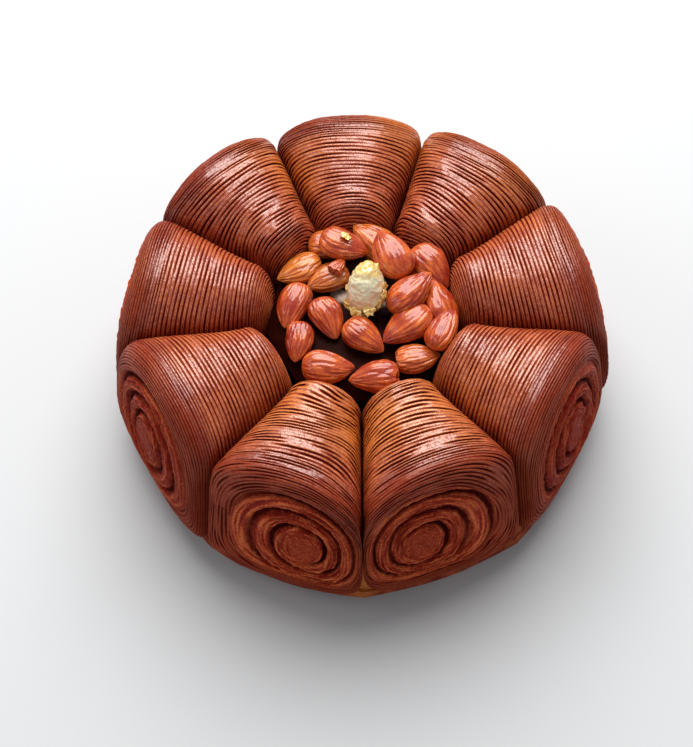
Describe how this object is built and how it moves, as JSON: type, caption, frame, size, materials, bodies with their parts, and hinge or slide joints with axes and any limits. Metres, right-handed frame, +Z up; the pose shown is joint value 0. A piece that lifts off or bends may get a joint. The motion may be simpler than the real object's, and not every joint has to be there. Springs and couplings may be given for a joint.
{
  "type": "galette des rois",
  "caption": "Festive crown of laminated dough rolls with spiral ends, side by side on a thin base, round a well of glazed almonds with one wrapped in gold leaf.",
  "frame": {"origin": "centre of the base sheet's underside, where the crown rests", "axes": "+Z up through the well; -Y towards the seam between the front pair of rolls; +X to the right of it"},
  "size_m": [0.2228, 0.2234, 0.0855],
  "materials": {
    "browned_crust": "browned and ridged, thinly glazed",
    "base_crust": "baked, matt",
    "praline": "glassy caramel",
    "almond_skin": "wrinkled skin under a clear glaze",
    "gold_leaf": "crumpled leaf"
  },
  "bodies": {
    "root": {"base_sheet": "base_crust", "roll_1": "browned_crust", "roll_2": "browned_crust", "roll_3": "browned_crust", "roll_4": "browned_crust", "roll_5": "browned_crust", "roll_6": "browned_crust", "roll_7": "browned_crust", "roll_8": "browned_crust", "roll_9": "browned_crust", "praline_bed": "praline", "almond_01": "almond_skin", "almond_02": "almond_skin", "almond_03": "almond_skin", "almond_04": "almond_skin", "almond_05": "almond_skin", "almond_06": "almond_skin", "almond_07": "almond_skin", "almond_08": "almond_skin", "almond_09": "almond_skin", "almond_10": "almond_skin", "almond_11": "almond_skin", "almond_12": "almond_skin", "almond_13": "almond_skin", "almond_14": "almond_skin", "almond_15": "almond_skin", "almond_16": "almond_skin", "almond_17": "almond_skin", "almond_18": "almond_skin", "broken_almond": "almond_skin", "gilded_almond": "gold_leaf"}
  },
  "joints": []
}
